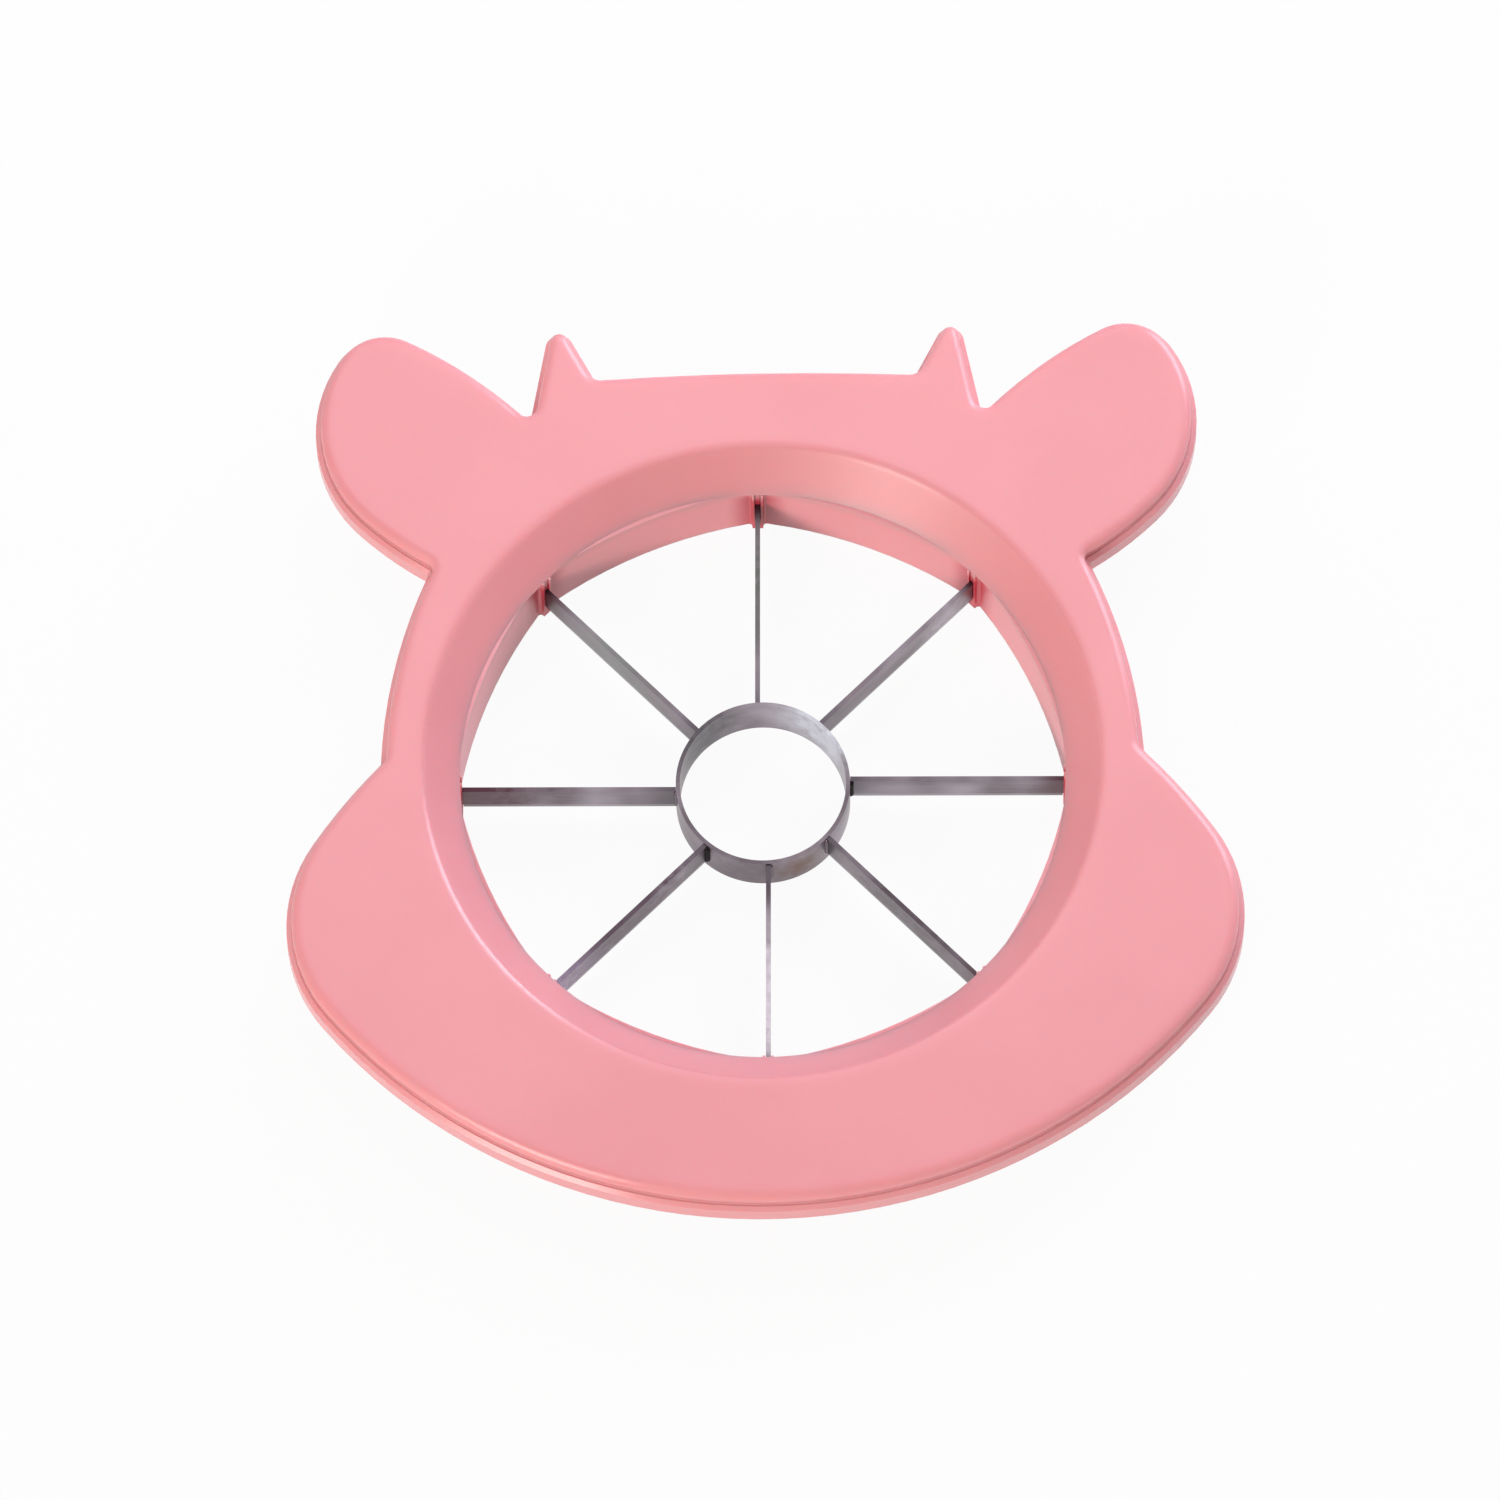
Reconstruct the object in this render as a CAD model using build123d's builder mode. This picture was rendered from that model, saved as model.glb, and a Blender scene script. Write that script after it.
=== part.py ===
"""Eight-segment apple slicer in a two-shell moulded frame with the outline of a cow's head.

The origin is on the corer's axis, at the level of the board that the slicer is pressed onto.
+Z points up to the apple, -Y to the chin and +X to the right ear. The two shells of the
frame close round a stainless corer ring with eight blades, whose hooked tails lie in
pockets of the collar.
All lengths are millimetres and all angles are degrees.
"""

import os
from math import asin, degrees, radians, tan

from build123d import *

# Heights
overall_height = 18.0  # board to the flat top of the frame
frame_depth = 7.0  # outer edge of the frame, which stays clear of the board
seam_depth = 2.8  # top face down to the seam between the two shells
lip_rise = 1.1  # underside of the frame up to the narrow end of the funnel

# Funnel, which guides the apple onto the blades
lip_radius = 44.4
funnel_flare = 5.6  # how much wider the funnel is at the top face

# Outline of the upper shell. A place is (bearing from +X about the corer, distance outside
# the funnel's top edge), so the rim keeps its width when the funnel changes.
cheek_margin = 19.2
chin_margin = 18.7
crown_margin = 11.75
chin_radius = 82.5
cheek_radius = 22.5
cheek_turn = 34.0  # how far the cheek's arc runs on past its widest point
jaw_end = (3.22, 3.48)
temple_foot = (-4.14, 5.34)
temple_head = (37.78, 7.93)
temple_bulge = 2.6
brow = (57.8, 12.7)  # corner of the forehead, behind horn and ear
crown_corner = (67.72, 15.92)  # end of the crown, inside the horn
crown_arch = 0.7
valley_round = 1.6  # between horn and ear
notch_round = 1.1

# Ears, as tangent arcs from the forehead over the tip to the temple
ear_rise = 48.6
ear_root = (58.77, 12.1)
ear_shoulder = (52.93, 35.1)
ear_tip = (47.09, 39.3)
ear_lobe = (34.45, 20.45)
ear_base = (33.89, 6.14)

# Horns
horn_point = (67.54, 26.94)  # where the straight sides would meet
horn_inner_foot = (68.99, 11.06)
horn_outer_foot = (57.16, 11.41)
horn_tip_round = 1.25
horn_inner_round = 2.2

# Shells
wall = 2.0
ledge = 0.8  # lower shell outside the upper one, all round
edge_round = 1.1  # top edges of the frame and of the funnel
ledge_bevel = 0.6  # outer edge of the ledge
base_chamfer = 0.6
foot_chamfer = 0.5
collar_root_chamfer = 0.8
collar_lean = 2.0  # draft of the collar's outer face

# Pegs of the upper shell and the sockets that they are pressed into
peg_places = ((45.0, 26.4), (-20.1, 13.9), (-66.4, 10.0))
peg_radius = 2.0
peg_fit = 0.1  # gap all round the peg and at its end
boss_wall = 1.5
socket_floor = 0.8
rib_thickness = 1.2

# Corer ring
core_radius = 12.8
core_wall = 0.6
core_lift = 0.3  # cutting edge above the board
core_rise = 0.3  # ring above the tops of the blades
core_bevel = 0.8
cutting_edge = 0.15  # thickness left by grinding

# Blades
blade_count = 8
blade_thickness = 0.7
blade_height = 6.5
blade_lift = 1.9  # cutting edge above the board
blade_bevel = 1.5  # height of the ground edge
blade_offset = 0.8  # each strip passes the corer's axis by this much
slot_clearance = 0.1
hook_neck = 1.5  # plastic that the hook grips
hook_length = 1.5
hook_drop = 1.2  # depth of the hook below the neck

# Inside of the collar: a rounded octagon with its corners at the blades
corner_relief = 0.7  # corners outside the lip
flat_ledge = 0.6  # middles of the flats inside the lip
seat_reach = 0.25  # seats of the blades inside the lip
seat_land = 0.35  # plastic on each side of a slot where it opens
seat_round = 0.5
pocket_wall = 1.4  # outside the hook pockets
foot_inset = 0.6  # foot of the funnel inside the collar's outer face
recess_clearance = 0.3  # round the part of the funnel below the seam

# Worked out from the above
frame_bottom = overall_height - frame_depth
seam_height = overall_height - seam_depth
lip_height = frame_bottom + lip_rise
funnel_radius = lip_radius + funnel_flare
half_width = funnel_radius + cheek_margin
chin_reach = funnel_radius + chin_margin
blade_top = blade_lift + blade_height
neck_height = blade_lift + blade_bevel
core_top = blade_top + core_rise
corner_radius = lip_radius + corner_relief
seat_radius = lip_radius - seat_reach
flat_radius = lip_radius - flat_ledge
hook_start = corner_radius + hook_neck
hook_end = hook_start + hook_length
collar_radius = hook_end + slot_clearance + pocket_wall
foot_radius = collar_radius - foot_inset
slot_width = blade_thickness + 2 * slot_clearance
funnel_slope = funnel_flare / (overall_height - lip_height)
funnel_wall = wall * (1 + funnel_slope**2) ** 0.5  # measured level, and so wall when square
funnel_bulk = lip_radius + funnel_wall  # outside of the funnel, at the lip's height
recess_radius = funnel_bulk + funnel_slope * (seam_height - lip_height) + recess_clearance
blade_turn = degrees(asin(blade_offset / corner_radius))
boss_radius = peg_radius + boss_wall
span = 360 / blade_count


def rim_point(place):
    """Point of the outline at a bearing and a distance outside the funnel's top edge."""
    bearing, margin = place
    return Vector(funnel_radius + margin, 0).rotate(Axis.Z, bearing)


def mirrored(point):
    """The same point on the left half of the head."""
    return Vector(-point.X, point.Y)


all_pegs = [rim_point(place) for place in peg_places]
all_pegs += [mirrored(point) for point in all_pegs]


def sharp_corners(sketch, least_turn=6.0):
    """Corners where an outline breaks its direction, leaving out its smooth joints."""
    corners = ShapeList()
    for vertex in sketch.vertices():
        directions = []
        for edge in sketch.edges():
            if edge.position_at(0) == vertex.center():
                directions.append(edge.tangent_at(0))
            elif edge.position_at(1) == vertex.center():
                directions.append(edge.tangent_at(1))
        if len(directions) == 2:
            turn = directions[0].get_angle(directions[1])
            if least_turn < turn < 180 - least_turn:
                corners.append(vertex)
    return corners


def head_outline(with_horns=True):
    """Sketch of the upper shell seen from above, symmetric about the Y axis."""
    chin_centre = Vector(0, chin_radius - chin_reach)
    cheek_x = half_width - cheek_radius
    centre_gap = chin_radius - cheek_radius
    cheek_centre = Vector(cheek_x, chin_centre.Y - (centre_gap**2 - cheek_x**2) ** 0.5)
    outward = (cheek_centre - chin_centre).normalized()
    chin_end = chin_centre + outward * chin_radius
    chin_middle = chin_centre + (outward + Vector(0, -1)).normalized() * chin_radius
    cheek_end = cheek_centre + Vector(cheek_radius, 0).rotate(Axis.Z, cheek_turn)

    with BuildSketch() as outline:
        # Chin, cheek and jaw
        with BuildLine():
            chin = ThreePointArc((0, -chin_reach), chin_middle, chin_end)
            cheek = TangentArc(chin @ 1, cheek_end, tangent=chin % 1)
            jaw = TangentArc(cheek @ 1, rim_point(jaw_end), tangent=cheek % 1)
            Polyline(jaw @ 1, (0, (jaw @ 1).Y), (0, -chin_reach))
        make_face()
        # Temple, forehead and crown
        with BuildLine():
            temple = SagittaArc(rim_point(temple_foot), rim_point(temple_head), -temple_bulge)
            side = Polyline(temple @ 1, rim_point(brow), rim_point(crown_corner))
            crown_top = Vector(0, funnel_radius + crown_margin)
            crown_middle = (side @ 1 + crown_top) / 2 + Vector(0, crown_arch / 4)
            ThreePointArc(side @ 1, crown_middle, crown_top)
            Polyline(crown_top, (0, (temple @ 0).Y), temple @ 0)
        make_face()
        # Ear
        with BuildLine():
            rise = Vector(1, 0).rotate(Axis.Z, ear_rise)
            upper = TangentArc(rim_point(ear_root), rim_point(ear_shoulder), tangent=rise)
            tip = TangentArc(upper @ 1, rim_point(ear_tip), tangent=upper % 1)
            flank = TangentArc(tip @ 1, rim_point(ear_lobe), tangent=tip % 1)
            lower = TangentArc(flank @ 1, rim_point(ear_base), tangent=flank % 1)
            Line(lower @ 1, upper @ 0)
        make_face()
        if with_horns:
            with BuildLine():
                horn = (horn_point, horn_inner_foot, horn_outer_foot)
                Polyline(*[rim_point(place) for place in horn], close=True)
            make_face()
        mirror(about=Plane.YZ)
        # From the top: horn tips, inner feet of the horns, valleys, then the notches
        if with_horns:
            fillet(sharp_corners(outline).sort_by(Axis.Y)[-2:], radius=horn_tip_round)
            fillet(sharp_corners(outline).sort_by(Axis.Y)[-2:], radius=horn_inner_round)
            fillet(sharp_corners(outline).sort_by(Axis.Y)[-2:], radius=valley_round)
        fillet(sharp_corners(outline), radius=notch_round)
    return outline.sketch


def blade_plane(turn):
    """Upright plane along one blade: its x runs outward and its y runs up."""
    along = Vector(1, 0).rotate(Axis.Z, turn)
    across = Vector(0, 1).rotate(Axis.Z, turn)
    return Plane(origin=across * blade_offset, x_dir=along, z_dir=-across)


blade_turns = [index * span - blade_turn for index in range(blade_count)]
blade_planes = [blade_plane(turn) for turn in blade_turns]
upper_outline = head_outline()
lower_outline = offset(upper_outline, amount=ledge)
upper_hollow = offset(head_outline(with_horns=False), amount=-wall)
lower_hollow = offset(head_outline(with_horns=False), amount=ledge - wall)


# Upper shell: top plate, side wall, funnel with its foot, pegs and tongues
with BuildPart() as upper_shell:
    with BuildSketch(Plane.XY.offset(seam_height)):
        add(upper_outline)
    extrude(amount=seam_depth)
    fillet(upper_shell.faces().sort_by(Axis.Z)[-1].edges(), radius=edge_round)
    with BuildSketch(Plane.XY.offset(seam_height)):
        add(upper_hollow)
        with Locations(*all_pegs):
            Circle(boss_radius, mode=Mode.SUBTRACT)
    extrude(amount=seam_depth - wall, mode=Mode.SUBTRACT)

    # Funnel
    with BuildSketch(Plane.XZ):
        with BuildLine():
            Polyline(
                (lip_radius, lip_height),
                (foot_radius, lip_height),
                (foot_radius, lip_height + (foot_radius - funnel_bulk) / funnel_slope),
                (funnel_radius + funnel_wall, overall_height),
                (funnel_radius, overall_height),
                close=True,
            )
        make_face()
    revolve(axis=Axis.Z)
    with BuildSketch(Plane.XZ):
        with BuildLine():
            Polyline(
                (0, lip_height),
                (lip_radius, lip_height),
                (funnel_radius, overall_height),
                (0, overall_height),
                close=True,
            )
        make_face()
    revolve(axis=Axis.Z, mode=Mode.SUBTRACT)
    top_face = upper_shell.faces().filter_by(Plane.XY).sort_by(Axis.Z)[-1]
    fillet(top_face.inner_wires()[0].edges(), radius=edge_round)

    peg_length = seam_height - frame_bottom - socket_floor - peg_fit
    with BuildSketch(Plane.XY.offset(seam_height)):
        with Locations(*all_pegs):
            Circle(peg_radius)
    extrude(amount=-peg_length)

    # Tongues that reach down the slots and hold the blades in their pockets
    with BuildSketch(*blade_planes):
        with BuildLine():
            Polyline(
                (lip_radius, lip_height),
                (lip_radius, blade_top + slot_clearance),
                (hook_end, blade_top + slot_clearance),
                (hook_end, lip_height),
                close=True,
            )
        make_face()
    extrude(amount=blade_thickness / 2, both=True)


# Lower shell: floor, side wall, ribbed sockets, and the collar that carries the blades
with BuildPart() as lower_shell:
    with BuildSketch(Plane.XY.offset(frame_bottom)):
        add(lower_outline)
    extrude(amount=seam_height - frame_bottom)
    chamfer(lower_shell.faces().sort_by(Axis.Z)[-1].edges(), length=ledge_bevel)
    chamfer(lower_shell.faces().sort_by(Axis.Z)[0].edges(), length=base_chamfer)
    with BuildSketch(Plane.XY.offset(frame_bottom + wall)):
        add(lower_hollow)
        with Locations(*all_pegs):
            Circle(boss_radius, mode=Mode.SUBTRACT)
        with BuildLine():
            for peg in all_pegs:
                Line(peg.normalized() * funnel_bulk, peg)
        trace(line_width=rib_thickness, mode=Mode.SUBTRACT)
    extrude(amount=seam_height - frame_bottom - wall, mode=Mode.SUBTRACT)
    with BuildSketch(Plane.XY.offset(seam_height)):
        with Locations(*all_pegs):
            Circle(peg_radius + peg_fit)
    extrude(amount=-(seam_height - frame_bottom - socket_floor), mode=Mode.SUBTRACT)

    # Collar, and the round recess over it for the foot of the funnel
    collar_foot_radius = collar_radius - frame_bottom * tan(radians(collar_lean))
    with BuildSketch(Plane.XZ):
        with BuildLine():
            Polyline(
                (0, 0),
                (collar_foot_radius, 0),
                (collar_radius, frame_bottom),
                (collar_radius, lip_height),
                (0, lip_height),
                close=True,
            )
        make_face()
    revolve(axis=Axis.Z)
    undersides = lower_shell.faces().filter_by(Plane.XY).group_by(Axis.Z)[1]
    chamfer(undersides[0].inner_wires()[0].edges(), length=collar_root_chamfer)
    chamfer(lower_shell.faces().sort_by(Axis.Z)[0].edges(), length=foot_chamfer)
    with BuildSketch(Plane.XY.offset(lip_height)):
        Circle(recess_radius)
    extrude(amount=seam_height - lip_height, mode=Mode.SUBTRACT)

    # Opening with a small seat at each slot
    with BuildSketch() as opening:
        with BuildLine():
            for index in range(blade_count):
                corner = Vector(corner_radius, 0).rotate(Axis.Z, index * span)
                middle = Vector(flat_radius, 0).rotate(Axis.Z, (index + 0.5) * span)
                next_corner = Vector(corner_radius, 0).rotate(Axis.Z, (index + 1) * span)
                ThreePointArc(corner, middle, next_corner)
        make_face()
        seat_width = slot_width + 2 * seat_land
        seat_depth = 2 * (corner_radius - seat_radius)
        seat_middle = Location((seat_radius + seat_depth / 2, blade_offset, 0))
        with Locations(*[Location((0, 0, 0), (0, 0, turn)) * seat_middle for turn in blade_turns]):
            Rectangle(seat_depth, seat_width, mode=Mode.SUBTRACT)
        seat_roots = opening.vertices().sort_by_distance((0, 0, 0))[-2 * blade_count :]
        fillet(seat_roots, radius=seat_round)
    extrude(amount=lip_height, mode=Mode.SUBTRACT)

    # Slots and hook pockets, open at the top so that the blades drop in
    with BuildSketch(*blade_planes):
        with BuildLine():
            Polyline(
                (flat_radius, neck_height),
                (hook_start - slot_clearance, neck_height),
                (hook_start - slot_clearance, neck_height - hook_drop - slot_clearance),
                (hook_end + slot_clearance, neck_height - hook_drop - slot_clearance),
                (hook_end + slot_clearance, lip_height),
                (flat_radius, lip_height),
                close=True,
            )
        make_face()
    extrude(amount=slot_width / 2, both=True, mode=Mode.SUBTRACT)


# Corer ring, ground to an edge from outside
with BuildPart() as core_ring:
    with BuildSketch(Plane.XZ):
        with BuildLine():
            Polyline(
                (core_radius - core_wall, core_lift),
                (core_radius - core_wall + cutting_edge, core_lift),
                (core_radius, core_lift + core_bevel),
                (core_radius, core_top),
                (core_radius - core_wall, core_top),
                close=True,
            )
        make_face()
    revolve(axis=Axis.Z)


def build_blade(plane):
    """Strip from the corer ring to the collar, ground along its lower edge, with a hooked tail."""
    strip_end = seat_radius - slot_clearance
    cross_plane = Plane(origin=plane.origin, x_dir=-plane.z_dir, z_dir=plane.x_dir)
    with BuildPart() as blade:
        with BuildSketch(cross_plane.offset(core_radius)):
            with BuildLine():
                Polyline(
                    (-cutting_edge / 2, blade_lift),
                    (cutting_edge / 2, blade_lift),
                    (blade_thickness / 2, neck_height),
                    (blade_thickness / 2, blade_top),
                    (-blade_thickness / 2, blade_top),
                    (-blade_thickness / 2, neck_height),
                    close=True,
                )
            make_face()
        extrude(amount=strip_end - core_radius)
        with BuildSketch(plane):
            with BuildLine():
                Polyline(
                    (strip_end, neck_height),
                    (hook_start, neck_height),
                    (hook_start, neck_height - hook_drop),
                    (hook_end, neck_height - hook_drop),
                    (hook_end, blade_top),
                    (strip_end, blade_top),
                    close=True,
                )
            make_face()
        extrude(amount=blade_thickness / 2, both=True)
    return blade.part


os.makedirs("parts", exist_ok=True)

upper_shell.part.label = "upper_shell"
export_step(upper_shell.part, "parts/upper_shell.step")

lower_shell.part.label = "lower_shell"
export_step(lower_shell.part, "parts/lower_shell.step")

core_ring.part.label = "core_ring"
export_step(core_ring.part, "parts/core_ring.step")

for number, plane in enumerate(blade_planes, start=1):
    blade = build_blade(plane)
    blade.label = f"blade_{number}"
    export_step(blade, f"parts/blade_{number}.step")
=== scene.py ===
"""Looks of an eight-segment apple slicer: two-shell moulded frame and welded stainless grid."""

import logging
from dataclasses import dataclass, field
from enum import Enum
from math import atan, cos, pi, radians, sin, sqrt

import bmesh
import bpy
from mathutils import Matrix, Vector, noise


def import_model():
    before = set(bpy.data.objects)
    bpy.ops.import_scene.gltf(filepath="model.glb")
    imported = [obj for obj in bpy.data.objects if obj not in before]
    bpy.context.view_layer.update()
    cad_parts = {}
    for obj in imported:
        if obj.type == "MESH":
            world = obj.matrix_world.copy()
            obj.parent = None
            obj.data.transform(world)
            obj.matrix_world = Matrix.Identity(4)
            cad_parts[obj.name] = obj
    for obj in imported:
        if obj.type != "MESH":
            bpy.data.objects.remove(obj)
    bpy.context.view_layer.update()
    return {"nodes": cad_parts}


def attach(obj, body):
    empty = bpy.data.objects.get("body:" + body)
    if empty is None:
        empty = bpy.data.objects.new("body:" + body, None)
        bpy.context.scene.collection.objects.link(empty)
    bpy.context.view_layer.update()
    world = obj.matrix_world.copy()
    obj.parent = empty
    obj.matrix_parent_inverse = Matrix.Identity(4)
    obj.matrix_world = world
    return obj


log = logging.getLogger("apple_slicer")

MM = 0.001
BLADE_COUNT = 8
Setting = float | bool | str | tuple[float, ...]


def linear(hex_colour: str) -> tuple[float, float, float, float]:
    """Turns an sRGB hex colour to linear RGBA.

    Args:
        hex_colour: Six hex digits, such as "F2A0A8".

    Returns:
        The colour as Blender's shader sockets want it, with an alpha of 1.
    """
    channels = []
    for start in (0, 2, 4):
        value = int(hex_colour[start : start + 2], 16) / 255
        channels.append(value / 12.92 if value <= 0.04045 else ((value + 0.055) / 1.055) ** 2.4)
    return (*channels, 1.0)


def add_node(
    tree: bpy.types.NodeTree,
    kind: str,
    settings: dict[str | int, Setting] | None = None,
    links: dict[str | int, bpy.types.NodeSocket] | None = None,
) -> bpy.types.Node:
    """Adds a shader node, sets it up and joins its inputs.

    Args:
        tree: The node tree that the node goes into.
        kind: Blender's name of the node's type, without "ShaderNode".
        settings: Properties of the node, or constant values of its inputs, by name or place.
        links: Output sockets to join to the node's inputs, by the input's name or place.

    Returns:
        The new node.
    """
    node = tree.nodes.new("ShaderNode" + kind)
    for name, value in (settings or {}).items():
        if isinstance(name, str) and hasattr(node, name):
            setattr(node, name, value)
        else:
            node.inputs[name].default_value = value
    for name, source in (links or {}).items():
        tree.links.new(source, node.inputs[name])
    return node


def colour_ramp(
    ramp: bpy.types.Node, places: tuple[float, float], hex_colours: tuple[str, str]
) -> None:
    """Sets the two stops of a colour ramp.

    Args:
        ramp: The ramp's node.
        places: Where the stops are, from left to right.
        hex_colours: The stops' colours in the same order.
    """
    for element, place, hex_colour in zip(ramp.color_ramp.elements, places, hex_colours):
        element.position = place
        element.color = linear(hex_colour)


def new_material(name: str) -> tuple[bpy.types.Material, bpy.types.NodeTree]:
    """Makes an empty node material.

    Args:
        name: What the real material is.

    Returns:
        The material and its cleared node tree.
    """
    material = bpy.data.materials.new(name)
    material.use_nodes = True
    material.node_tree.nodes.clear()
    return material, material.node_tree


def axis_distance(
    tree: bpy.types.NodeTree, place: bpy.types.NodeSocket
) -> bpy.types.NodeSocket:
    """Measures how far places are from the corer's axis.

    Args:
        tree: The material's node tree.
        place: Object coordinates.

    Returns:
        The level distance from the axis.
    """
    level = add_node(tree, "VectorMath", {"operation": "MULTIPLY", 1: (1.0, 1.0, 0.0)}, {0: place})
    length = add_node(tree, "VectorMath", {"operation": "LENGTH"}, {0: level.outputs[0]})
    return length.outputs["Value"]


def axis_bearing(tree: bpy.types.NodeTree, apart: bpy.types.Node) -> bpy.types.NodeSocket:
    """Measures in which direction places lie from the corer's axis.

    Args:
        tree: The material's node tree.
        apart: Node that gives a place's X, Y and Z.

    Returns:
        The bearing in radians, counted anticlockwise from +X.
    """
    bearing = add_node(
        tree,
        "Math",
        {"operation": "ARCTAN2"},
        {0: apart.outputs["Y"], 1: apart.outputs["X"]},
    )
    return bearing.outputs[0]


def seen_share(tree: bpy.types.NodeTree) -> bpy.types.NodeSocket:
    """Tells what meets the eye, straight or by way of steel or gloss, from what lights the part.

    Args:
        tree: The material's or the world's node tree.

    Returns:
        1 where the eye sees it, and 0 where it only gives light.
    """
    path = add_node(tree, "LightPath")
    glance = add_node(
        tree,
        "Math",
        {"operation": "MAXIMUM"},
        {0: path.outputs["Is Camera Ray"], 1: path.outputs["Is Glossy Ray"]},
    )
    seen = add_node(
        tree,
        "Math",
        {"operation": "MAXIMUM"},
        {0: glance.outputs[0], 1: path.outputs["Is Transmission Ray"]},
    )
    return seen.outputs[0]


class Slot(Enum):
    """The part's own material slot for the steel, which nothing here uses."""

    STEEL = "stainless_steel"


class WeldFinish(Enum):
    """How a weld was left."""

    BRUSHED = "brushed"
    SCALED = "scaled"


@dataclass(frozen=True)
class MouldedAbs:
    """Injection-moulded ABS in a polished tool: an even pink with a soft, slightly wavy gloss."""

    colour: str = "F19FA3"
    shade: str = "ED9A9E"
    flow_mm: float = 30.0  # size of the places that differ by a shade
    flow_stops: tuple[float, float] = (0.35, 0.65)
    ior: float = 1.54
    milkiness: float = 0.5
    milky_mm: float = 2.5
    milky_reach: tuple[float, float, float] = (1.0, 0.25, 0.22)  # red light goes furthest
    roughness: float = 0.23
    inner_roughness: float = 0.4  # of the funnel and the collar
    inner_within_mm: float = 49.2
    inner_fade_mm: float = 0.6
    speck_mm: float = 0.45  # handling marks, drawn as coarse as they need to show
    speck_range: tuple[float, float] = (0.1, 0.4)
    speck_spread: float = 0.03  # roughness that they add or take away
    peel_mm: float = 2.6  # orange peel of the polished tool
    peel_height_mm: float = 0.004
    soft_mm: float = 2.0
    soft_from_mm: float = 15.7  # above the seam
    soft_fade_mm: float = 0.2
    collar_bounce_pink: str = "FF9FA6"  # painted pink bounce light on the collar's wall
    collar_below_mm: float = 12.0
    collar_fade_mm: float = 2.5
    collar_within_mm: float = 46.5
    slot_shadow_pink: str = "CC3447"  # painted shade round the blades' ends, a deep red
    slot_near_mm: float = 0.4
    slot_far_mm: float = 5.0

    def material(self) -> bpy.types.Material:
        """Builds the plastic.

        Returns:
            The finished material.
        """
        material, tree = new_material("moulded pink ABS")
        place = add_node(tree, "TexCoord").outputs["Object"]
        apart = add_node(tree, "SeparateXYZ", {}, {0: place})
        reach = axis_distance(tree, place)
        # Cloudy flow of the pigment, a shade or two apart
        flow = add_node(
            tree,
            "TexNoise",
            {"Scale": 1 / (self.flow_mm * MM), "Detail": 2.0},
            {"Vector": place},
        )
        tint = add_node(tree, "ValToRGB", {}, {"Fac": flow.outputs["Fac"]})
        colour_ramp(tint, self.flow_stops, (self.shade, self.colour))
        shader = add_node(
            tree,
            "BsdfPrincipled",
            {
                "IOR": self.ior,
                "Subsurface Weight": self.milkiness,
                "Subsurface Radius": self.milky_reach,
                "Subsurface Scale": self.milky_mm * MM,
            },
            {
                "Base Color": self.paint_collar_light_and_shade(tree, apart, reach, tint.outputs["Color"]),
                "Roughness": self.sheen(tree, place, reach, flow.outputs["Fac"]),
                "Normal": self.surface(tree, place, apart.outputs["Z"]),
            },
        )
        add_node(tree, "OutputMaterial", {}, {"Surface": shader.outputs["BSDF"]})
        return material

    def sheen(
        self,
        tree: bpy.types.NodeTree,
        place: bpy.types.NodeSocket,
        reach: bpy.types.NodeSocket,
        flow: bpy.types.NodeSocket,
    ) -> bpy.types.NodeSocket:
        """Breaks up the gloss with fine handling marks, and dulls the funnel and the collar.

        Args:
            tree: The material's node tree.
            place: Object coordinates.
            reach: Distance from the corer's axis.
            flow: The pigment's cloudy flow.

        Returns:
            The plastic's roughness.
        """
        speck = add_node(
            tree,
            "TexNoise",
            {"Scale": 1 / (self.speck_mm * MM), "Detail": 3.0, "Roughness": 0.6},
            {"Vector": place},
        )
        dulled_and_shaded = add_node(
            tree, "Math", {"operation": "MULTIPLY"}, {0: flow, 1: speck.outputs["Fac"]}
        )
        gloss = add_node(
            tree,
            "MapRange",
            {
                "From Min": self.speck_range[0],
                "From Max": self.speck_range[1],
                "To Min": self.roughness - self.speck_spread,
                "To Max": self.roughness + self.speck_spread,
            },
            {"Value": dulled_and_shaded.outputs[0]},
        )
        inner = add_node(
            tree,
            "MapRange",
            {
                "From Min": (self.inner_within_mm + self.inner_fade_mm) * MM,
                "From Max": self.inner_within_mm * MM,
                "To Min": 0.0,
                "To Max": self.inner_roughness - self.roughness,
            },
            {"Value": reach},
        )
        both = add_node(
            tree,
            "Math",
            {"operation": "ADD"},
            {0: gloss.outputs["Result"], 1: inner.outputs["Result"]},
        )
        return both.outputs[0]

    def surface(
        self,
        tree: bpy.types.NodeTree,
        place: bpy.types.NodeSocket,
        height: bpy.types.NodeSocket,
    ) -> bpy.types.NodeSocket:
        """Melts the upper edges into each other, and ripples the faces like orange peel.

        Args:
            tree: The material's node tree.
            place: Object coordinates.
            height: Height above the board.

        Returns:
            The plastic's normal.
        """
        soft = add_node(tree, "Bevel", {"samples": 8, "Radius": self.soft_mm * MM})
        sharp = add_node(tree, "NewGeometry")
        upper = add_node(
            tree,
            "MapRange",
            {
                "From Min": self.soft_from_mm * MM,
                "From Max": (self.soft_from_mm + self.soft_fade_mm) * MM,
            },
            {"Value": height},
        )
        edges = add_node(
            tree,
            "Mix",
            {"data_type": "VECTOR"},
            {0: upper.outputs["Result"], 4: sharp.outputs["Normal"], 5: soft.outputs["Normal"]},
        )
        peel = add_node(
            tree,
            "TexNoise",
            {"Scale": 1 / (self.peel_mm * MM), "Detail": 1.0},
            {"Vector": place},
        )
        bump = add_node(
            tree,
            "Bump",
            {"Strength": 1.0, "Distance": self.peel_height_mm * MM},
            {"Height": peel.outputs["Fac"], "Normal": edges.outputs[1]},
        )
        return bump.outputs["Normal"]

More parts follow.
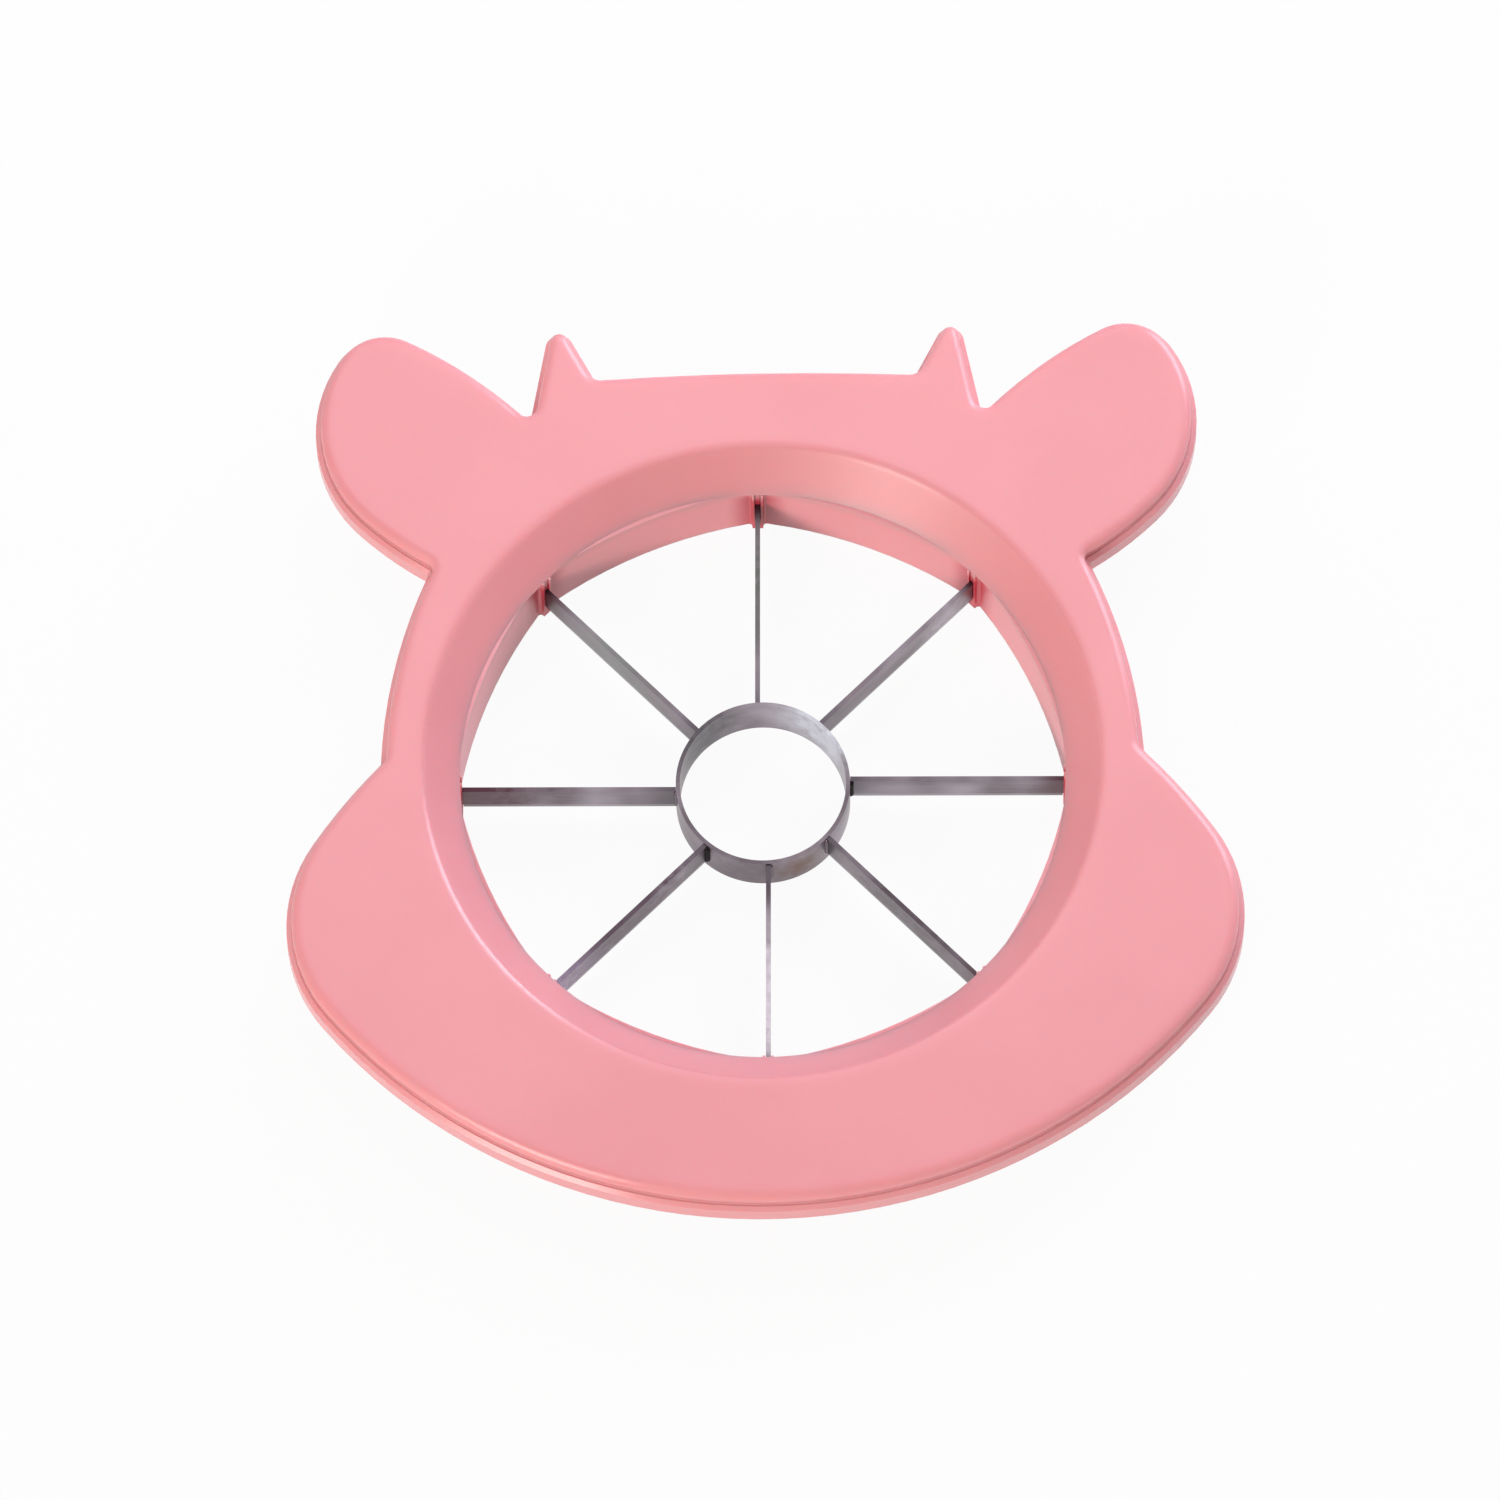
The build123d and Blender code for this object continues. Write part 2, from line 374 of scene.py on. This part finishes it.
    def paint_collar_light_and_shade(
        self,
        tree: bpy.types.NodeTree,
        apart: bpy.types.Node,
        reach: bpy.types.NodeSocket,
        pink: bpy.types.NodeSocket,
    ) -> bpy.types.NodeSocket:
        """Paints pink bounce light on the collar's wall, and paints deep red shade round the ends
        of the eight blades.

        Args:
            tree: The material's node tree.
            apart: Node that gives a place's X, Y and Z.
            reach: Distance from the corer's axis.
            pink: Colour of the plastic elsewhere.

        Returns:
            The plastic's colour with the painted bounce light on the wall and the painted shade at
            the eight slots.
        """
        # Painted pink bounce light on the collar's wall, low down and inside
        low = add_node(
            tree,
            "MapRange",
            {
                "interpolation_type": "SMOOTHSTEP",
                "From Min": self.collar_below_mm * MM,
                "From Max": (self.collar_below_mm - self.collar_fade_mm) * MM,
            },
            {"Value": apart.outputs["Z"]},
        )
        within = add_node(
            tree, "Math", {"operation": "LESS_THAN", 1: self.collar_within_mm * MM}, {0: reach}
        )
        painted_wall = add_node(
            tree,
            "Math",
            {"operation": "MULTIPLY"},
            {0: low.outputs["Result"], 1: within.outputs[0]},
        )
        bounce_lit = add_node(
            tree,
            "Mix",
            {"data_type": "RGBA", "blend_type": "MIX", 7: linear(self.collar_bounce_pink)},
            {0: painted_wall.outputs[0], 6: pink},
        )
        # Painted shade, deep red, round the blades' ends on the wall
        share = add_node(
            tree,
            "Math",
            {"operation": "MULTIPLY"},
            {0: self.slot_nearness(tree, apart, reach), 1: painted_wall.outputs[0]},
        )
        slot_shaded = add_node(
            tree,
            "Mix",
            {"data_type": "RGBA", "blend_type": "MIX", 7: linear(self.slot_shadow_pink)},
            {0: share.outputs[0], 6: bounce_lit.outputs[2]},
        )
        return slot_shaded.outputs[2]

    def slot_nearness(
        self, tree: bpy.types.NodeTree, apart: bpy.types.Node, reach: bpy.types.NodeSocket
    ) -> bpy.types.NodeSocket:
        """Tells how near places on the collar are to the nearest blade's slot.

        Args:
            tree: The material's node tree.
            apart: Node that gives a place's X, Y and Z.
            reach: Distance from the corer's axis.

        Returns:
            1 at a slot, and 0 where none is near.
        """
        # Angle to the nearest slot, as the slots are an even share of a turn apart
        turn = add_node(
            tree,
            "Math",
            {"operation": "PINGPONG", 1: pi / BLADE_COUNT},
            {0: axis_bearing(tree, apart)},
        )
        aside = add_node(tree, "Math", {"operation": "MULTIPLY"}, {0: turn.outputs[0], 1: reach})
        near = add_node(
            tree,
            "MapRange",
            {
                "interpolation_type": "SMOOTHSTEP",
                "From Min": self.slot_far_mm * MM,
                "From Max": self.slot_near_mm * MM,
            },
            {"Value": aside.outputs[0]},
        )
        return near.outputs["Result"]


@dataclass(frozen=True)
class Patch:
    """A round place on the steel with a tone laid over it, which fades out at its edge; one is a
    heat bloom by a weld, and the others are painted highlights, painted shade and painted
    reflections.
    """

    colour: str
    centre_mm: tuple[float, float, float]
    reach_mm: float
    strength: float
    ring_only: bool = False


@dataclass(frozen=True)
class Band:
    """A tone on the blades, whole at one distance from the corer's axis and gone at another."""

    colour: str
    whole_mm: float
    gone_mm: float
    strength: float


@dataclass(frozen=True)
class BrushedStainless:
    """Cold-rolled stainless strip: a soft grey sheen, drawn out along the strip's rolling marks."""

    colour: str = "8A7C85"
    shade: str = "60545B"
    streak_mm: float = 1.1  # finer in the real strip, drawn as coarse as it needs to show
    streak_stops: tuple[float, float] = (0.3, 0.7)
    streak_slowness: float = 0.06  # share of its way outwards that the pattern moves on
    streak_turn_mm: float = 2.0  # what the pattern moves on in a radian round the axis
    streak_height_mm: float = 0.01
    streak_strength: float = 0.5
    roughness: float = 0.34
    roughness_spread: tuple[float, float] = (-0.08, 0.1)
    blotch: str = "A99DA8"
    blotch_mm: float = 9.0  # uneven polish along a strip
    blotch_range: tuple[float, float] = (0.45, 0.75)
    blotch_strength: float = 0.8
    edge: str = "D2D4CE"  # painted shade: what the upward faces keep of their tone
    edge_lean: float = 0.7  # least Z of an upward edge's normal
    ring_within_mm: float = 12.9  # just outside the ring's outer face
    root: Band = Band("4A444B", whole_mm=12.9, gone_mm=19.5, strength=0.65)  # next to the ring
    painted_collar_shade: Band = Band("4E2A34", whole_mm=43.5, gone_mm=38.0, strength=0.85)  # painted shade by the collar, with the collar's pink reflected in it
    cloud_mm: float = 1.6  # how finely the patches break up
    patches: tuple[Patch, ...] = (
        # Painted shade on the front of the ring
        Patch("675B62", (-1.0, -13.0, 4.0), reach_mm=13.0, strength=1.5, ring_only=True),
        Patch("6B4A3C", (5.4, -11.6, 5.0), reach_mm=5.5, strength=2.0),  # brown bloom by a weld
        Patch("CAC9D2", (9.0, 9.0, 6.0), reach_mm=11.0, strength=2.2, ring_only=True),  # painted highlight, brightest
        Patch("504C50", (-9.2, 8.6, 5.0), reach_mm=11.5, strength=2.1, ring_only=True),  # painted shade, darkest
        # Painted reflections and painted shade on the blades, one by one: darker where a blade
        # mirrors shade and the pink frame, lighter where it mirrors the bright surroundings
        Patch("5E4D58", (-21.0, -20.0, 5.0), reach_mm=25.0, strength=2.2),
        Patch("5C5057", (20.0, -22.0, 5.0), reach_mm=24.0, strength=2.0),
        Patch("53353F", (-43.0, 0.0, 5.0), reach_mm=18.0, strength=2.2),
        Patch("666564", (0.0, 31.0, 8.4), reach_mm=16.0, strength=1.9),
        Patch("9A879F", (-31.0, -30.0, 5.0), reach_mm=11.0, strength=1.9),
        Patch("7E807E", (-21.0, 21.0, 5.0), reach_mm=14.0, strength=1.5),
        Patch("B9AFB9", (27.0, 27.0, 5.0), reach_mm=8.0, strength=1.3),
        Patch("D6C8D4", (-0.3, -34.0, 8.4), reach_mm=18.0, strength=2.1),
    )

    def material(self) -> bpy.types.Material:
        """Builds the steel.

        Returns:
            The finished material.
        """
        material, tree = new_material("brushed stainless strip")
        place = add_node(tree, "TexCoord").outputs["Object"]
        reach = axis_distance(tree, place)
        grain = add_node(
            tree,
            "TexNoise",
            {"Scale": 1 / (self.streak_mm * MM), "Detail": 4.0, "Roughness": 0.65},
            {"Vector": self.along_the_strip(tree, place, reach)},
        )
        tone = self.polished(tree, place, grain.outputs["Fac"])
        tone = self.banded(tree, reach, tone, self.painted_collar_shade)
        for patch in self.patches:
            tone = self.patched(tree, place, reach, tone, patch)
        tone = self.banded(tree, reach, tone, self.root)
        tone = self.shade_upward_faces(tree, tone)
        gloss = add_node(
            tree,
            "MapRange",
            {
                "To Min": self.roughness + self.roughness_spread[0],
                "To Max": self.roughness + self.roughness_spread[1],
            },
            {"Value": grain.outputs["Fac"]},
        )
        bump = add_node(
            tree,
            "Bump",
            {"Strength": self.streak_strength, "Distance": self.streak_height_mm * MM},
            {"Height": grain.outputs["Fac"]},
        )
        shader = add_node(
            tree,
            "BsdfPrincipled",
            {"Metallic": 1.0},
            {
                "Base Color": tone,
                "Roughness": gloss.outputs["Result"],
                "Normal": bump.outputs["Normal"],
            },
        )
        add_node(tree, "OutputMaterial", {}, {"Surface": shader.outputs["BSDF"]})
        return material

    def along_the_strip(
        self,
        tree: bpy.types.NodeTree,
        place: bpy.types.NodeSocket,
        reach: bpy.types.NodeSocket,
    ) -> bpy.types.NodeSocket:
        """Draws places out along the blades and round the ring, both by the corer's axis.

        Args:
            tree: The material's node tree.
            place: Object coordinates.
            reach: Distance from the corer's axis.

        Returns:
            Coordinates that change slowly along each strip and fast across it.
        """
        apart = add_node(tree, "SeparateXYZ", {}, {0: place})
        slow_reach = add_node(
            tree, "Math", {"operation": "MULTIPLY", 1: self.streak_slowness}, {0: reach}
        )
        slow_bearing = add_node(
            tree,
            "Math",
            {"operation": "MULTIPLY", 1: self.streak_turn_mm * MM},
            {0: axis_bearing(tree, apart)},
        )
        together = add_node(
            tree,
            "CombineXYZ",
            {},
            {"X": slow_reach.outputs[0], "Y": slow_bearing.outputs[0], "Z": apart.outputs["Z"]},
        )
        return together.outputs[0]

    def polished(
        self,
        tree: bpy.types.NodeTree,
        place: bpy.types.NodeSocket,
        grain: bpy.types.NodeSocket,
    ) -> bpy.types.NodeSocket:
        """Colours the rolling marks, and brightens the strips unevenly.

        Args:
            tree: The material's node tree.
            place: Object coordinates.
            grain: The rolling marks.

        Returns:
            The steel's colour before its bands, patches and edges.
        """
        steel = add_node(tree, "ValToRGB", {}, {"Fac": grain})
        colour_ramp(steel, self.streak_stops, (self.shade, self.colour))
        polish = add_node(
            tree,
            "TexNoise",
            {"Scale": 1 / (self.blotch_mm * MM), "Detail": 1.0},
            {"Vector": place},
        )
        share = add_node(
            tree,
            "MapRange",
            {
                "From Min": self.blotch_range[0],
                "From Max": self.blotch_range[1],
                "To Min": 0.0,
                "To Max": self.blotch_strength,
            },
            {"Value": polish.outputs["Fac"]},
        )
        brightened = add_node(
            tree,
            "Mix",
            {"data_type": "RGBA", "blend_type": "MIX", 7: linear(self.blotch)},
            {0: share.outputs["Result"], 6: steel.outputs["Color"]},
        )
        return brightened.outputs[2]

    def banded(
        self,
        tree: bpy.types.NodeTree,
        reach: bpy.types.NodeSocket,
        steel: bpy.types.NodeSocket,
        band: Band,
    ) -> bpy.types.NodeSocket:
        """Lays one band over the blades, and leaves the ring as it is.

        Args:
            tree: The material's node tree.
            reach: Distance from the corer's axis.
            steel: Colour of the steel without the band.
            band: Where the band is, and its tone.

        Returns:
            The steel's colour with the band over it.
        """
        on_blades = add_node(
            tree, "Math", {"operation": "GREATER_THAN", 1: self.ring_within_mm * MM}, {0: reach}
        )
        fading = add_node(
            tree,
            "MapRange",
            {
                "interpolation_type": "SMOOTHSTEP",
                "From Min": band.whole_mm * MM,
                "From Max": band.gone_mm * MM,
                "To Min": band.strength,
                "To Max": 0.0,
            },
            {"Value": reach},
        )
        share = add_node(
            tree,
            "Math",
            {"operation": "MULTIPLY"},
            {0: on_blades.outputs[0], 1: fading.outputs["Result"]},
        )
        laid = add_node(
            tree,
            "Mix",
            {"data_type": "RGBA", "blend_type": "MIX", 7: linear(band.colour)},
            {0: share.outputs[0], 6: steel},
        )
        return laid.outputs[2]

    def patched(
        self,
        tree: bpy.types.NodeTree,
        place: bpy.types.NodeSocket,
        reach: bpy.types.NodeSocket,
        steel: bpy.types.NodeSocket,
        patch: Patch,
    ) -> bpy.types.NodeSocket:
        """Lays one cloudy patch over the steel.

        Args:
            tree: The material's node tree.
            place: Object coordinates.
            reach: Distance from the corer's axis.
            steel: Colour of the steel without the patch.
            patch: Where the patch is, and its tone.

        Returns:
            The steel's colour with the patch over it.
        """
        gap = add_node(
            tree,
            "VectorMath",
            {"operation": "DISTANCE", 1: tuple(value * MM for value in patch.centre_mm)},
            {0: place},
        )
        near = add_node(
            tree,
            "MapRange",
            {
                "interpolation_type": "SMOOTHSTEP",
                "From Min": patch.reach_mm * MM,
                "From Max": 0.0,
                "To Min": 0.0,
                "To Max": patch.strength,
            },
            {"Value": gap.outputs["Value"]},
        )
        cloud = add_node(
            tree,
            "TexNoise",
            {"Scale": 1 / (self.cloud_mm * MM), "Detail": 3.0},
            {"Vector": place},
        )
        share = add_node(
            tree,
            "Math",
            {"operation": "MULTIPLY", "use_clamp": True},
            {0: near.outputs["Result"], 1: cloud.outputs["Fac"]},
        )
        if patch.ring_only:
            on_ring = add_node(
                tree, "Math", {"operation": "LESS_THAN", 1: self.ring_within_mm * MM}, {0: reach}
            )
            share = add_node(
                tree,
                "Math",
                {"operation": "MULTIPLY"},
                {0: share.outputs[0], 1: on_ring.outputs[0]},
            )
        laid = add_node(
            tree,
            "Mix",
            {"data_type": "RGBA", "blend_type": "MIX", 7: linear(patch.colour)},
            {0: share.outputs[0], 6: steel},
        )
        return laid.outputs[2]

    def shade_upward_faces(
        self, tree: bpy.types.NodeTree, steel: bpy.types.NodeSocket
    ) -> bpy.types.NodeSocket:
        """Paints shade on the upward edges of the ring and the blades.

        Args:
            tree: The material's node tree.
            steel: Colour of the steel's sides.

        Returns:
            The steel's colour with the painted shade on the upward edges.
        """
        normal = add_node(tree, "TexCoord").outputs["Normal"]
        facing = add_node(tree, "SeparateXYZ", {}, {0: normal})
        upward = add_node(
            tree,
            "Math",
            {"operation": "GREATER_THAN", 1: self.edge_lean},
            {0: facing.outputs["Z"]},
        )
        # Painted shade on every face that looks upward
        dulled_and_shaded = add_node(
            tree,
            "Mix",
            {"data_type": "RGBA", "blend_type": "MULTIPLY", 7: linear(self.edge)},
            {0: upward.outputs[0], 6: steel},
        )
        return dulled_and_shaded.outputs[2]


@dataclass(frozen=True)
class WeldScale:
    """Oxide left on a weld that wasn't brushed: near black, dry and crusty."""

    colour: str = "1E181B"
    edge: str = "0B090C"
    stops: tuple[float, float] = (0.4, 0.7)
    roughness: float = 0.7
    shine: float = 0.2  # a dry oxide hardly reflects
    crust_mm: float = 0.5
    crust_height_mm: float = 0.05
    crust_strength: float = 0.8

    def material(self) -> bpy.types.Material:
        """Builds the oxide.

        Returns:
            The finished material.
        """
        material, tree = new_material("dark weld scale")
        place = add_node(tree, "TexCoord").outputs["Object"]
        crust = add_node(
            tree,
            "TexNoise",
            {"Scale": 1 / (self.crust_mm * MM), "Detail": 3.0},
            {"Vector": place},
        )
        tint = add_node(tree, "ValToRGB", {}, {"Fac": crust.outputs["Fac"]})
        colour_ramp(tint, self.stops, (self.edge, self.colour))
        bump = add_node(
            tree,
            "Bump",
            {"Strength": self.crust_strength, "Distance": self.crust_height_mm * MM},
            {"Height": crust.outputs["Fac"]},
        )
        shader = add_node(
            tree,
            "BsdfPrincipled",
            {"Roughness": self.roughness, "Specular IOR Level": self.shine},
            {"Base Color": tint.outputs["Color"], "Normal": bump.outputs["Normal"]},
        )
        add_node(tree, "OutputMaterial", {}, {"Surface": shader.outputs["BSDF"]})
        return material


@dataclass(frozen=True)
class WhiteBoard:
    """Matt white board under the slicer: nearly pure white to the eye, but for its soft shadow."""

    colour: str = "E9E6E4"
    seen_white: float = 0.94  # share of plain white in what the eye sees

    def material(self) -> bpy.types.Material:
        """Builds the board's surface.

        Returns:
            The finished material.
        """
        material, tree = new_material("matt white laminate")
        share = add_node(
            tree, "Math", {"operation": "MULTIPLY", 1: self.seen_white}, {0: seen_share(tree)}
        )
        matt = add_node(tree, "BsdfDiffuse", {"Color": linear(self.colour)})
        white = add_node(tree, "Emission", {"Color": linear("FFFFFF"), "Strength": 1.0})
        mixed = add_node(
            tree,
            "MixShader",
            {},
            {0: share.outputs[0], 1: matt.outputs["BSDF"], 2: white.outputs["Emission"]},
        )
        add_node(tree, "OutputMaterial", {}, {"Surface": mixed.outputs["Shader"]})
        return material


@dataclass
class MouldedFrame:
    """The upper and lower shell, which keep their solids' shapes."""

    shells: tuple[str, ...] = ("upper_shell", "lower_shell")
    plastic: MouldedAbs = field(default_factory=MouldedAbs)

    def dress(self, nodes: dict[str, bpy.types.Object]) -> None:
        """Gives both shells the moulded plastic.

        Args:
            nodes: The part's objects by name.
        """
        material = self.plastic.material()
        for name in self.shells:
            for slot in nodes[name].material_slots:
                slot.material = material
            log.info("dressed %s", name)


@dataclass
class CuttingGrid:
    """The corer ring, the eight blades and the welds that join them."""

    ring: str = "core_ring"
    ring_radius_mm: float = 12.8
    blade_offset_mm: float = 0.8  # by which each blade passes the corer's axis
    blade_thickness_mm: float = 0.7
    blade_turn: float = -1.016  # degrees, which bring its far end to its slot all the same
    weld_foot_mm: float = 3.2  # above the board
    weld_head_mm: float = 8.2
    brushed_radius_mm: float = 0.34
    scaled_radius_mm: float = 0.55
    scaled_blades: tuple[int, ...] = (1, 6)
    ripple_mm: float = 0.7
    waist_share: float = 0.84  # of the bead's radius, between two ripples
    end_share: float = 0.4  # of the bead's radius, at its foot and head
    bead_sides: int = 10
    lump_mm: float = 0.8
    lump_height_mm: float = 0.04
    lump_seed: int = 7  # a fixed one, so that the lumps are the same each time
    steel: BrushedStainless = field(default_factory=BrushedStainless)
    scale: WeldScale = field(default_factory=WeldScale)

    def build(self, nodes: dict[str, bpy.types.Object]) -> None:
        """Dresses the ring and the blades, and runs a weld down each joint.

        Args:
            nodes: The part's objects by name.
        """
        noise.seed_set(self.lump_seed)
        steel = self.steel.material()
        finishes = {WeldFinish.BRUSHED: steel, WeldFinish.SCALED: self.scale.material()}
        names = [self.ring] + [f"blade_{n + 1}" for n in range(BLADE_COUNT)]
        for name in names:
            for slot in nodes[name].material_slots:
                slot.material = steel
            log.info("dressed %s", name)
        for number in range(1, BLADE_COUNT + 1):
            finish = WeldFinish.SCALED if number in self.scaled_blades else WeldFinish.BRUSHED
            weld = self.weld(number, finish)
            weld.data.materials.append(finishes[finish])
            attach(weld, "root")
            log.info("built %s, %s", weld.name, finish.value)

    def weld(self, number: int, finish: WeldFinish) -> bpy.types.Object:
        """Makes the lumpy bead in the corner between the ring and one blade.

        Args:
            number: The blade's number.
            finish: How the weld was left, a scaled one being fatter.

        Returns:
            The bead's object, at the origin with its place in its mesh.
        """
        scaled = finish is WeldFinish.SCALED
        radius = self.scaled_radius_mm if scaled else self.brushed_radius_mm
        shape = self.rippled_bead(self.corner(number), radius)
        for point in shape.verts:
            lump = noise.noise_vector(point.co / (self.lump_mm * MM))
            point.co += lump * self.lump_height_mm * MM
        bmesh.ops.recalc_face_normals(shape, faces=shape.faces)
        for face in shape.faces:
            face.smooth = True
        mesh = bpy.data.meshes.new(f"weld_{number}")
        shape.to_mesh(mesh)
        shape.free()
        piece = bpy.data.objects.new(f"weld_{number}", mesh)
        bpy.context.scene.collection.objects.link(piece)
        return piece

    def corner(self, number: int) -> Vector:
        """Finds the corner between the ring and one blade, on the side that faces the chin.

        Args:
            number: The blade's number, counted anticlockwise from +X, as seen from above.

        Returns:
            The corner's place at the level of the board, in millimetres.
        """
        turn = radians((number - 1) * 360 / BLADE_COUNT + self.blade_turn)
        along = Vector((cos(turn), sin(turn), 0))
        across = Vector((-sin(turn), cos(turn), 0))
        side = -1 if across.y > 0 else 1
        aside = self.blade_offset_mm + side * self.blade_thickness_mm / 2
        reach = sqrt(self.ring_radius_mm**2 - aside**2)
        return along * reach + across * aside

    def rippled_bead(self, corner: Vector, radius: float) -> bmesh.types.BMesh:
        """Draws a bead up a corner, with a ripple in every second step.

        Args:
            corner: The corner's place at the level of the board, in millimetres.
            radius: Radius of the bead at a ripple, in millimetres.

        Returns:
            The bead's smooth shape, in metres.
        """
        height = self.weld_foot_mm
        shape = bmesh.new()
        bmesh.ops.create_circle(
            shape,
            cap_ends=True,
            cap_tris=False,
            segments=self.bead_sides,
            radius=radius * MM * self.end_share,
        )
        bmesh.ops.translate(shape, verts=shape.verts, vec=(corner + Vector((0, 0, height))) * MM)
        top = list(shape.faces)
        rise = self.ripple_mm / 2
        steps = round((self.weld_head_mm - self.weld_foot_mm) / rise)
        for step in range(1, steps + 1):
            # With its edges given too, a face that is drawn up leaves none inside the bead
            edges = [edge for face in top for edge in face.edges]
            made = bmesh.ops.extrude_face_region(shape, geom=top + edges)["geom"]
            rim = [item for item in made if isinstance(item, bmesh.types.BMVert)]
            top = [item for item in made if isinstance(item, bmesh.types.BMFace)]
            height += rise
            bmesh.ops.translate(shape, verts=rim, vec=Vector((0, 0, rise * MM)))
            share = 1.0 if step % 2 else self.waist_share
            if step == steps:
                share = self.end_share
            centre = (corner + Vector((0, 0, height))) * MM
            growth = radius * MM * share / (rim[0].co - centre).length
            bmesh.ops.scale(
                shape,
                verts=rim,
                vec=Vector((growth, growth, growth)),
                space=Matrix.Translation(-centre),
            )
        return shape


@dataclass(frozen=True)
class SoftLamp:
    """A square lamp that faces the slicer, with its place and size in metres and degrees."""

    name: str
    bearing: float
    elevation: float
    distance: float
    width: float
    radiance: float
    colour: str

    def hang(self) -> None:
        """Hangs the lamp at its bearing, by its radiance and not its power."""
        flat = cos(radians(self.elevation))
        towards = Vector(
            (
                flat * cos(radians(self.bearing)),
                flat * sin(radians(self.bearing)),
                sin(radians(self.elevation)),
            )
        )
        data = bpy.data.lights.new(self.name, "AREA")
        data.size = self.width
        data.energy = self.radiance * pi * self.width**2
        data.color = linear(self.colour)[:3]
        lamp = bpy.data.objects.new(self.name, data)
        lamp.location = towards * self.distance
        lamp.rotation_euler = (-towards).to_track_quat("-Z", "Y").to_euler()
        bpy.context.scene.collection.objects.link(lamp)
        log.info("hung %s", self.name)


FRONT_LAMP = SoftLamp(
    name="front lamp",
    bearing=236.0,
    elevation=27.0,
    distance=1.3,
    width=0.5,
    radiance=13.0,
    colour="FFF4EC",
)
WINDOW = SoftLamp(
    name="window",
    bearing=52.0,
    elevation=26.0,
    distance=1.3,
    width=0.68,
    radiance=9.0,
    colour="EAEDFF",
)
CEILING = SoftLamp(
    name="ceiling",
    bearing=92.0,
    elevation=52.0,
    distance=0.5,
    width=0.42,
    radiance=1.35,
    colour="F0F0FF",
)


@dataclass
class Studio:
    """A white board and backdrop, with plain soft light."""

    board_mm: float = 6000.0
    board_drop_mm: float = 0.05  # keeps the board's face off the collar's flat foot
    white: WhiteBoard = field(default_factory=WhiteBoard)
    sky_strength: float = 0.33
    lamps: tuple[SoftLamp, ...] = (FRONT_LAMP, WINDOW, CEILING)

    def build(self) -> None:
        """Lays the board, sets the world and hangs the lamps."""
        mesh = bpy.data.meshes.new("board")
        shape = bmesh.new()
        bmesh.ops.create_grid(shape, x_segments=1, y_segments=1, size=self.board_mm * MM / 2)
        bmesh.ops.translate(shape, verts=shape.verts, vec=(0, 0, -self.board_drop_mm * MM))
        shape.to_mesh(mesh)
        shape.free()
        board = bpy.data.objects.new("board", mesh)
        mesh.materials.append(self.white.material())
        bpy.context.scene.collection.objects.link(board)
        self.sky()
        for lamp in self.lamps:
            lamp.hang()
        log.info("built the studio")

    def sky(self) -> None:
        """Sets an even pale world, which is white to the eye and in the steel."""
        world = bpy.data.worlds.new("studio")
        bpy.context.scene.world = world
        world.use_nodes = True
        tree = world.node_tree
        tree.nodes.clear()
        strength = add_node(
            tree,
            "MapRange",
            {"To Min": self.sky_strength, "To Max": 1.0},
            {"Value": seen_share(tree)},
        )
        light = add_node(
            tree,
            "Background",
            {"Color": linear("FFFFFF")},
            {"Strength": strength.outputs["Result"]},
        )
        add_node(tree, "OutputWorld", {}, {"Surface": light.outputs["Background"]})


@dataclass
class Viewpoint:
    """A long lens high in front of the chin."""

    distance_mm: float = 3000.0
    elevation: float = 68.0  # degrees, as the roll is
    roll: float = -1.068
    target_mm: tuple[float, float, float] = (-1.803, 1.529, 18.0)
    field_mm: float = 219.55  # what the square frame takes in at the target
    sensor_mm: float = 36.0
    far_mm: float = 20000.0  # beyond which nothing is drawn

    def build(self) -> None:
        """Places the camera and makes it the scene's own."""
        elevation = radians(self.elevation)
        back = Vector((0, -cos(elevation), sin(elevation)))
        right = Vector((1, 0, 0))
        up = Vector((0, sin(elevation), cos(elevation)))
        turn = radians(self.roll)
        turned_right = right * cos(turn) + up * sin(turn)
        turned_up = up * cos(turn) - right * sin(turn)
        data = bpy.data.cameras.new("viewpoint")
        data.sensor_width = self.sensor_mm
        data.sensor_fit = "HORIZONTAL"
        data.angle = 2 * atan(self.field_mm / 2 / self.distance_mm)
        data.clip_end = self.far_mm * MM
        camera = bpy.data.objects.new("viewpoint", data)
        turning = Matrix((turned_right, turned_up, back)).transposed().to_4x4()
        place = (Vector(self.target_mm) + back * self.distance_mm) * MM
        camera.matrix_world = Matrix.Translation(place) @ turning
        bpy.context.scene.collection.objects.link(camera)
        bpy.context.scene.camera = camera
        log.info("placed the camera")


def main() -> None:
    """Dresses the part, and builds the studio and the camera."""
    logging.basicConfig(level=logging.INFO)
    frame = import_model()
    Viewpoint().build()
    MouldedFrame().dress(frame["nodes"])
    CuttingGrid().build(frame["nodes"])
    Studio().build()
    bpy.context.scene.view_settings.view_transform = "Standard"


if __name__ == "__main__":
    main()
